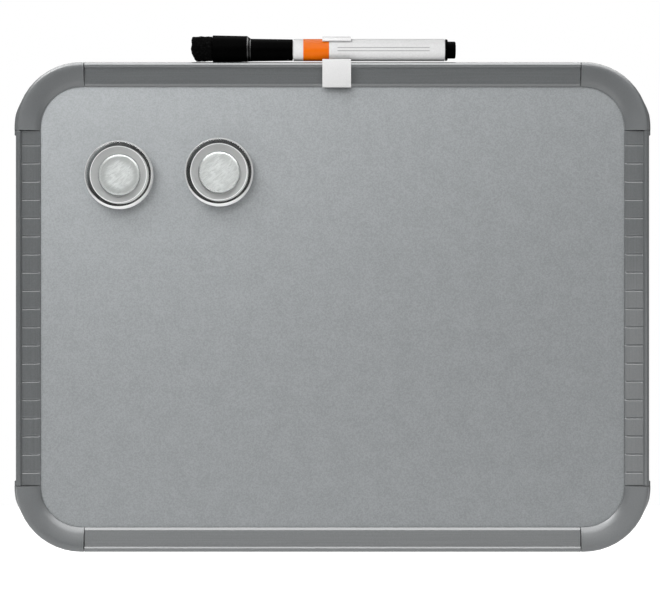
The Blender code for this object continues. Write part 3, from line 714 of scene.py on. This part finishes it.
barrel_finish = Finish(
    "white_barrel", Specular_IOR_Level=0.08, Subsurface_Weight=0.3, Subsurface_Scale=1.2 * MM,
    Subsurface_Radius=(1.0, 1.0, 1.0),
)
skin_grain = barrel_finish.grain(0.7 * MM, detail=3)
along = barrel_finish.axis("X")
forward = (barrel_finish.axis("Y") - AXIS.y) * -1
upward = barrel_finish.axis("Z") - AXIS.z
turn = barrel_finish.add("Math", {"operation": "ARCTAN2"}, {0: upward, 1: forward})
band = within(along, *BAND, PRINT_EDGE)
stripes = None
for height in STRIPE_HEIGHTS:
    angle = math.asin(height / BARREL_RADIUS)
    off = ((turn - angle) * BARREL_RADIUS).size()
    stripe = 1 - off.rise(STRIPE_WIDTH / 2, STRIPE_WIDTH / 2 + PRINT_EDGE)
    stripes = stripe if stripes is None else stripes + stripe
stripes = stripes * within(along, *STRIPES, PRINT_EDGE)
white = skin_grain.spread().mix(grey(202), grey(208))
printed = band.mix(white, srgb(212, 100, 0))
barrel_finish.feed(
    Base_Color=stripes.mix(printed, grey(152)),
    Roughness=0.26 + 0.1 * skin_grain + 0.06 * band,
)
barrel_finish.emboss(0.25 * skin_grain + band + stripes, 0.01 * MM)
print("band", round((BAND[1] - BAND[0]) / MM, 1), "mm wide")

# %% White barrel
MOUTH_X = -17.3 * MM
MOUTH = Matrix.Translation((MOUTH_X, AXIS.y, AXIS.z))
ALONG_MARKER = MOUTH @ Matrix.Rotation(math.radians(90), 4, "Y")
BARREL_LENGTH = 66.95 * MM
BORE_RADIUS = 3.98 * MM
NECK_RADIUS = 3.88 * MM
NECK_LENGTH = 12.0 * MM
NECK_BORE = 2.88 * MM
NECK_BORE_END = 2.0 * MM

barrel_profile = [
    (BORE_RADIUS, BARREL_LENGTH),
    (BARREL_RADIUS, BARREL_LENGTH),
    (BARREL_RADIUS, 0),
    (NECK_RADIUS, 0, 0.1 * MM),
    (NECK_RADIUS, -NECK_LENGTH),
    (NECK_BORE, -NECK_LENGTH),
    (NECK_BORE, NECK_BORE_END),
    (BORE_RADIUS, NECK_BORE_END),
]
barrel_outline = eased(barrel_profile, 0.25 * MM)
new_piece(
    "marker_barrel_tube",
    spun("marker_barrel_tube", barrel_outline, ALONG_MARKER, RING_POINTS, closed=True),
    barrel_finish,
    "marker_barrel",
)

# %% [markdown]
# ## Nib and nib holder
#
# Both hide in the cap until it is pulled off. The holder is a moulded tube with a tapered nose,
# and the nib is a bundle of fibres, ground to a round point and soaked with ink: almost black,
# quite dull, with lines along its length.

# %% Fibre with ink in it
ink_finish = Finish("ink_fibre", Roughness=0.8, Specular_IOR_Level=0.3)
threads = ink_finish.grain(0.18 * MM, detail=2, place=ink_finish.place * (0.08, 1.0, 1.0))
ink_finish.feed(Base_Color=threads.spread().mix(grey(14), grey(34, 1)))
ink_finish.emboss(threads, 0.04 * MM)
dress(ink_finish, "ink_reservoir")

# %% Nib and holder
GAP = 0.3 * MM
NIB_RADIUS = 1.1 * MM
NIB_TIP = 18.0 * MM
NIB_POINT = 1.6 * MM
NIB_END_SHARE = 0.55
HOLDER_NOSE = 3.0 * MM
HOLDER_TAPER = 0.8 * MM
HOLDER_DEPTH = 7.0 * MM

holder_radius = NECK_BORE - GAP
holder_bore = NIB_RADIUS + GAP
holder_profile = [
    (holder_bore, HOLDER_DEPTH - NECK_LENGTH),
    (holder_radius, HOLDER_DEPTH - NECK_LENGTH),
    (holder_radius, -NECK_LENGTH),
    (holder_radius - HOLDER_TAPER, -NECK_LENGTH - HOLDER_NOSE, 0.35 * MM),
    (holder_bore, -NECK_LENGTH - HOLDER_NOSE, 0.15 * MM),
]
new_piece(
    "nib_holder_tube",
    spun("nib_holder_tube", eased(holder_profile, 0.2 * MM), ALONG_MARKER, 64, closed=True),
    white_finish,
    "nib_holder",
)
nib_profile = [
    (0, NECK_BORE_END),
    (NIB_RADIUS, NECK_BORE_END),
    (NIB_RADIUS, NIB_POINT - NIB_TIP, 0.9 * MM),
    (NIB_RADIUS * NIB_END_SHARE, -NIB_TIP, 0.5 * MM),
    (0, -NIB_TIP),
]
new_piece(
    "marker_nib_fibre",
    spun("marker_nib_fibre", eased(nib_profile, 0.15 * MM, 6), ALONG_MARKER, 48),
    ink_finish,
    "marker_nib",
)

# %% [markdown]
# ## The end plug and the cap
#
# Both are deep black. The plug closes the barrel with a sloping flange and a small knob. The
# cap is thin where it slides over the neck, widens in a short cone and ends in a thick head
# that sits higher than the rest, so that the head clears the rail. It is spun like the others,
# but each ring is lifted by an amount that grows over the cone. The profile runs from the
# pocket for the felt round the outside and back into the bore. Handling has polished the two
# edges of the cone, and a coat on them alone gives the two thin streaks that they show.

# %% Black plastic, polished at two edges
CAP_SLEEVE = 18.8 * MM
SHOULDER_END = CAP_SLEEVE + 1.5 * MM
HEAD_STREAK = (-0.1 * MM, 0.45 * MM)
SLEEVE_STREAK = (-0.4 * MM, 0.0)

black_finish = moulded_finish(
    "black_plastic", grey(1), grey(4), 0.22, 0.5 * MM, 0.006 * MM, Specular_IOR_Level=0.004,
    Coat_IOR=1.6, Coat_Roughness=0.4
)
along_cap = black_finish.axis("X")
head_edge = [MOUTH_X - SHOULDER_END + place for place in HEAD_STREAK]
sleeve_edge = [MOUTH_X - CAP_SLEEVE + place for place in SLEEVE_STREAK]
black_finish.feed(
    Coat_Weight=within(along_cap, *head_edge, PRINT_EDGE)
    + 0.7 * within(along_cap, *sleeve_edge, PRINT_EDGE)
)
print("streaks from", [round(edge[0] / MM, 1) for edge in (head_edge, sleeve_edge)], "mm along X")

# %% End plug
PLUG_SPIGOT = 6.0 * MM
FLANGE_LENGTH = 1.0 * MM
FLANGE_TAPER = 0.3 * MM
KNOB_RADIUS = 3.77 * MM
KNOB_LENGTH = 3.5 * MM

plug_seat = BARREL_LENGTH + GAP
plug_rim = plug_seat + FLANGE_LENGTH
plug_profile = [
    (0, plug_rim + KNOB_LENGTH),
    (KNOB_RADIUS, plug_rim + KNOB_LENGTH, 0.6 * MM),
    (KNOB_RADIUS, plug_rim, 0.15 * MM),
    (BARREL_RADIUS - FLANGE_TAPER, plug_rim),
    (BARREL_RADIUS, plug_seat),
    (BORE_RADIUS - GAP, plug_seat),
    (BORE_RADIUS - GAP, BARREL_LENGTH - PLUG_SPIGOT),
    (0, BARREL_LENGTH - PLUG_SPIGOT),
]
new_piece(
    "end_plug_body",
    spun("end_plug_body", eased(plug_profile, 0.25 * MM), ALONG_MARKER, RING_POINTS),
    black_finish,
    "end_plug",
)

# %% Cap
CAP_BORE = NECK_RADIUS + GAP
CAP_RADIUS = CAP_BORE + 0.55 * MM
SLEEVE_TAPER = 0.25 * MM
SHOULDER_STEP = 0.1 * MM
HEAD_END = SHOULDER_END + 15.4 * MM
HEAD_RADIUS = 5.98 * MM
HEAD_TAPER = 0.3 * MM
HEAD_RISE = 0.5 * MM
POCKET_RADIUS = 4.7 * MM
POCKET_DEPTH = 3.5 * MM
NIB_ROOM = 1.4 * MM


def head_rise(height):
    """How far a ring of the cap is lifted: nothing on the sleeve, all of it on the head."""
    share = min(max((-height - CAP_SLEEVE) / (SHOULDER_END - CAP_SLEEVE), 0), 1)
    return HEAD_RISE * share


bore_floor = -NIB_TIP - NIB_ROOM
cap_profile = [
    (0, POCKET_DEPTH - HEAD_END),
    (POCKET_RADIUS, POCKET_DEPTH - HEAD_END),
    (POCKET_RADIUS, -HEAD_END),
    (HEAD_RADIUS, -HEAD_END, 0.4 * MM),
    (HEAD_RADIUS - HEAD_TAPER, -SHOULDER_END, 0.3 * MM),
    (HEAD_RADIUS - HEAD_TAPER - SHOULDER_STEP, -SHOULDER_END, 0.1 * MM),
    (CAP_RADIUS + SLEEVE_TAPER, -CAP_SLEEVE, 0.5 * MM),
    (CAP_RADIUS, -GAP),
    (CAP_BORE, -GAP),
    (CAP_BORE, bore_floor),
    (0, bore_floor),
]
cap_outline = eased(cap_profile, 0.2 * MM)
new_piece(
    "marker_cap_shell",
    spun("marker_cap_shell", cap_outline, ALONG_MARKER, RING_POINTS, rise=head_rise),
    black_finish,
    "marker_cap",
)

# %% [markdown]
# ## The eraser felt
#
# A plug of black felt is pushed into the cap's head. It is the one worn thing in the picture:
# its end is ragged, and the lower half is rubbed away at a slant. It is a grid of rings that
# run from the seat to the end and then in to the middle of the end face. Each point is pushed
# out or in by noise of two sizes, the coarse one for the torn edge and the fine one for the
# nap. Both are seeded by place, so they come out the same each time.

# %% Wear and nap
FELT_SEAT = -HEAD_END - GAP
FELT_RADIUS = 5.45 * MM
FELT_LENGTH = 9.45 * MM
WEAR = 1.8 * MM
TORN_SIZE = 2.2 * MM
NAP_SIZE = 0.45 * MM


def felt_point(radius, share, angle):
    """A place on the felt: share runs from 0 at its seat to 1 at its worn end."""
    across, up = radius * math.sin(angle), radius * math.cos(angle)
    worn = WEAR * (max(-up, 0) / FELT_RADIUS) ** 2
    length = FELT_LENGTH - GAP - worn
    return Vector((-up - HEAD_RISE, across, FELT_SEAT - length * share))


def nap(point, share):
    """How far the nap lifts or sinks a point: more towards the worn end."""
    coarse = noise.fractal(point / TORN_SIZE, 1.0, 2.0, 3)
    fine = noise.fractal(point / NAP_SIZE + Vector((7, 3, 5)), 1.0, 2.0, 2)
    return (0.16 + 0.24 * share) * MM * coarse + (0.10 + 0.06 * share) * MM * fine


print("worn by", round(WEAR / MM, 1), "mm at its lowest point")

# %% Rings of the felt
FELT_SPIGOT = 3.2 * MM
FELT_SPIGOT_RADIUS = 4.4 * MM
FELT_ROUND = 0.9 * MM
FELT_DRAW = 0.45
SIDE_SINK = 0.03 * MM
END_SINK = 0.25 * MM
FELT_RINGS = 44
FELT_END_RINGS = 26
FELT_SEGMENTS = 144

felt_shape = bmesh.new()
felt_rings = []
for height in (FELT_SPIGOT - HEAD_END, FELT_SEAT):
    ring = []
    for step in range(FELT_SEGMENTS):
        angle = 2 * math.pi * step / FELT_SEGMENTS
        across = FELT_SPIGOT_RADIUS * math.sin(angle)
        down = -FELT_SPIGOT_RADIUS * math.cos(angle) - HEAD_RISE
        ring.append(felt_shape.verts.new(ALONG_MARKER @ Vector((down, across, height))))
    felt_rings.append(ring)
for number in range(FELT_RINGS + FELT_END_RINGS):
    side = number < FELT_RINGS
    share = min(number / (FELT_RINGS - 1), 1)
    inward = 1 if side else 1 - (number - FELT_RINGS + 1) / (FELT_END_RINGS + 1)
    ring = []
    for step in range(FELT_SEGMENTS):
        angle = 2 * math.pi * step / FELT_SEGMENTS
        point = felt_point(FELT_RADIUS * inward, share, angle)
        outward = Vector((point.x + HEAD_RISE, point.y, 0)).normalized()
        to_end = max(0, 1 - (1 - share) * FELT_LENGTH / FELT_ROUND) if side else 1
        edge = to_end * max(0, 1 - (1 - inward) * FELT_RADIUS / FELT_ROUND)
        drawn_in = (Vector((0, 0, 1)) - outward) * edge**2 * FELT_DRAW * FELT_ROUND
        lift = nap(point, share)
        if side and share > 0:
            shift = outward * (lift - SIDE_SINK)
        elif side:
            shift = Vector()
        else:
            shift = Vector((0, 0, -1)) * (lift - END_SINK)
        ring.append(felt_shape.verts.new(ALONG_MARKER @ (point + drawn_in + shift)))
    felt_rings.append(ring)
skin(felt_shape, felt_rings)
print(len(felt_rings), "rings of", FELT_SEGMENTS, "points")

# %% Black felt
felt_finish = Finish("black_felt", Specular_IOR_Level=0.01, Sheen_Weight=0.01, Sheen_Roughness=0.6)
tufts = felt_finish.grain(0.5 * MM, detail=4)
dust = felt_finish.grain(0.8 * MM, detail=3, distortion=1.0).rise(0.6, 0.72)
felt_finish.feed(
    Base_Color=dust.mix(tufts.rise(0.35, 0.7).mix(grey(1), grey(7)), grey(26)),
    Roughness=0.9 + 0.1 * tufts,
)
felt_finish.emboss(tufts, 0.15 * MM)
new_piece("eraser_felt_worn", mesh_of("eraser_felt_worn", felt_shape), felt_finish, "eraser_felt")

# %% [markdown]
# ## Glass magnets
#
# Each magnet is a thick glass disc with a round front edge and a wide chamfer at the back. A
# ferrite magnet is let into it behind a bright foil. What makes it read as glass is what its
# edge does: the chamfer throws the view sideways, and shows as a dark ring. So the body is real
# glass with an index of 1.5, spun with many steps over the round edge. Where it is ground matt
# it is pale instead: on its flat back and on its rim. A thin pale ring in its front is a painted
# highlight, and the rim is paler and wider towards the bottom, which is a painted caustic. A Mix
# Shader puts a matt shader there, by the distance from the axis, the depth and the height. The
# foil is a little domed at its edge, which catches the light from above. It shows the streaks of
# the film that it is stuck on with: noise that is stretched along a slant and swirled by its own
# distortion. A ring inside its edge is darker and duller, on the first magnet more than on the
# other.

# %% Clear and ground glass
GLASS_RADIUS = 15.0 * MM
RIM_START = 14.3 * MM
CAUSTIC_CREEP = 0.35 * MM
HIGHLIGHT_RING_RADII = (12.15 * MM, 12.5 * MM)
GROUND_BACK = (0.05 * MM, 0.1 * MM)
NEAR_FRONT = (5 * MM, 6 * MM)


def glass_finish(name, centre):
    """Clear glass, ground matt on back and rim, with a painted highlight ring and a painted caustic.
    """
    made = Finish(name, IOR=1.5, Transmission_Weight=1.0)
    smudges = made.grain(6 * MM, detail=4).rise(0.5, 0.8)
    made.feed(
        Base_Color=smudges.mix(srgb(246, 248, 247), srgb(240, 244, 243)),
        Roughness=0.01 + 0.03 * smudges,
    )
    flat = (made.place - tuple(centre)) * (1.0, 0.0, 1.0)
    radius = made.add("VectorMath", {"operation": "LENGTH"}, {0: flat}, "Value")
    depth = centre.y - made.axis("Y")
    # Painted highlight: a thin pale ring of the matt shader on the front face.
    line = within(radius, *HIGHLIGHT_RING_RADII, PRINT_EDGE) * depth.rise(*NEAR_FRONT)
    # Painted caustic: towards the bottom the rim is paler and starts further in.
    caustic_share = (centre.z - made.axis("Z")).rise(0.3 * GLASS_RADIUS, GLASS_RADIUS)
    rim_start = RIM_START - CAUSTIC_CREEP * caustic_share
    rim_and_caustic = (0.4 + 0.6 * caustic_share) * (radius - rim_start).rise(-PRINT_EDGE, PRINT_EDGE)
    back = 1 - depth.rise(*GROUND_BACK)
    grit = made.grain(0.3 * MM, detail=3)
    colour = back.mix(grit.mix(grey(235), grey(252)), grit.mix(grey(176), grey(192)))
    ground = made.add("BsdfPrincipled", values={"Roughness": 0.8, "Base Color": colour})
    layers = {0: line + rim_and_caustic + back, 1: Term(made, made.shader.outputs[0]), 2: ground}
    both = made.add("MixShader", values=layers)
    made.put(made.tree.nodes["Material Output"].inputs["Surface"], both)
    return made


# %% Ferrite and film
FOIL_RADIUS = 9.0 * MM
FOIL_EDGE = 1.2 * MM
DULL_RING = (4.8 * MM, 7.2 * MM)
FILM_SLANT = math.radians(35)

ferrite_finish = Finish("ferrite", Specular_IOR_Level=0.3)
pressing = ferrite_finish.grain(0.6 * MM, detail=4)
ferrite_finish.feed(
    Base_Color=pressing.spread().mix(grey(36), grey(54)), Roughness=0.5 + 0.2 * pressing
)
ferrite_finish.emboss(pressing, 0.03 * MM)


def foil_finish(name, centre, ring_dimming):
    """Bright film with slanting swirled streaks, duller in a ring just inside its edge."""
    made = Finish(name)
    local = made.place - tuple(centre)
    radius = made.add("VectorMath", {"operation": "LENGTH"}, {0: local * (1.0, 0.0, 1.0)}, "Value")
    edge = radius.rise(FOIL_RADIUS - FOIL_EDGE, FOIL_RADIUS)
    # A ring just inside the edge is darker and duller, by the share given for each magnet.
    dull = ring_dimming * radius.rise(*DULL_RING) * (1 - edge)
    turned = made.add(
        "VectorRotate", {"rotation_type": "Y_AXIS"}, {"Vector": local, "Angle": FILM_SLANT}
    )
    swirl = made.grain(3.8 * MM, detail=3, place=turned * (0.5, 1.0, 1.6), distortion=2.6)
    fine = made.grain(0.5 * MM, detail=3, place=turned * (0.2, 1.0, 1.0))
    streaks = (0.75 * swirl + 0.25 * fine).rise(0.32, 0.68)
    made.feed(
        Base_Color=dull.mix(streaks.mix(grey(202), grey(243)), grey(168)),
        Roughness=0.42 - 0.1 * streaks - 0.15 * edge,
        Metallic=0.25 + 0.5 * edge * (1 - ring_dimming),
    )
    made.emboss(streaks, 0.06 * MM)
    return made


# %% Magnets
GLASS_HEIGHT = 7.0 * MM
GLASS_ROUND = 1.0 * MM
GLASS_ROUND_STEPS = 24
GLASS_CHAMFER = 2.4 * MM
GLASS_POINTS = 160
FRONT_RINGS = (4 * MM, 9 * MM)
FOIL_THICKNESS = 0.3 * MM
FOIL_FALL = 0.22 * MM
FOIL_STEPS = 8
MAGNET_THICKNESS = 2.0 * MM
GLASS_POCKET = MAGNET_THICKNESS + 2 * GAP + FOIL_THICKNESS


def arc(centre, radius, start, end, steps):
    """Points of an arc between two angles in degrees."""
    angles = [math.radians(start + (end - start) * step / steps) for step in range(steps + 1)]
    return [
        (centre[0] + radius * math.cos(angle), centre[1] + radius * math.sin(angle))
        for angle in angles
    ]


def make_magnet(name, ring_dimming):
    """The three pieces of a magnet, about the axis of its solids."""
    low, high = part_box(name + "_glass")
    seat = Vector(((low.x + high.x) / 2, high.y, (low.z + high.z) / 2))
    place = Matrix.Translation(seat) @ Matrix.Rotation(math.radians(90), 4, "X")

    front = (GLASS_RADIUS - GLASS_ROUND, GLASS_HEIGHT - GLASS_ROUND)
    outline = [(radius, GLASS_HEIGHT) for radius in (0, *FRONT_RINGS)]
    outline += arc(front, GLASS_ROUND, 90, 0, GLASS_ROUND_STEPS)
    outline += [(GLASS_RADIUS, GLASS_CHAMFER), (GLASS_RADIUS - GLASS_CHAMFER, 0)]
    outline += [(FOIL_RADIUS + GAP, 0), (FOIL_RADIUS + GAP, GLASS_POCKET), (0, GLASS_POCKET)]
    glass = glass_finish(name + "_clear_glass", seat)
    lens = spun(name + "_lens", outline, place, GLASS_POINTS)
    new_piece(name + "_lens", lens, glass, name + "_glass")

    foil_back = MAGNET_THICKNESS + GAP
    foil = [(0, foil_back + FOIL_THICKNESS)]
    for step in range(FOIL_STEPS + 1):
        share = step / FOIL_STEPS
        radius = FOIL_RADIUS - FOIL_EDGE * (1 - share)
        foil.append((radius, foil_back + FOIL_THICKNESS - FOIL_FALL * share**2))
    foil += [(FOIL_RADIUS, foil_back), (0, foil_back)]
    finish = foil_finish(name + "_film", seat, ring_dimming)
    film = spun(name + "_film", foil, place, RING_POINTS)
    new_piece(name + "_film", film, finish, name + "_foil")

    disc = [(0, MAGNET_THICKNESS), (FOIL_RADIUS, MAGNET_THICKNESS), (FOIL_RADIUS, 0), (0, 0)]
    ferrite = spun(name + "_ferrite", eased(disc, 0.25 * MM), place, RING_POINTS)
    new_piece(name + "_ferrite", ferrite, ferrite_finish, name + "_disc")


for magnet, ring_dimming in (("magnet_a", 0.7), ("magnet_b", 0.2)):
    make_magnet(magnet, ring_dimming)

# %% [markdown]
# ## Cards that shade some pieces
#
# The lamp that gives the sheet its broad sheen would also draw a hard white line round the
# glossy edges of the frame and show as a white patch in the glass. The photograph has neither.
# On a real set a black card keeps a lamp off such pieces. Here they go into a collection of
# things that the lamp doesn't light. The reflector is for the lower rail, the right one and the
# corner between them alone, which are a shade paler than the rest of the frame. The bounce is
# for the marker's barrel alone, whose underside gets light back from all the white around it.

# %% Keep lamps off some pieces
shaded = bpy.data.collections.new("out_of_the_sheen")
paler = bpy.data.collections.new("in_the_reflector")
underlit = bpy.data.collections.new("in_the_bounce")
for piece in bpy.data.objects:
    if piece.name.endswith(("_rail_profile", "left_cap_shell", "right_cap_shell", "_lens")):
        shaded.objects.link(piece)
for entry in shaded.collection_objects:
    entry.light_linking.link_state = "EXCLUDE"
for name in ("bottom_rail_profile", "right_rail_profile", "bottom_right_cap_shell"):
    paler.objects.link(bpy.data.objects[name])
underlit.objects.link(bpy.data.objects["marker_barrel_tube"])
sheen.light_linking.receiver_collection = shaded
reflector.light_linking.receiver_collection = paler
bounce.light_linking.receiver_collection = underlit

# %% [markdown]
# ## Measure and finish
#
# The looks may not change the size. The imported solids' box and the finished box are printed side by
# side.

# %% Sizes
shown_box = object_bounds()
sizes = {"cad": [list(corner) for corner in cad_box], "shown": [list(corner) for corner in shown_box]}
for name, box in sizes.items():
    print(name, [[round(value * 1000, 2) for value in corner] for corner in box])
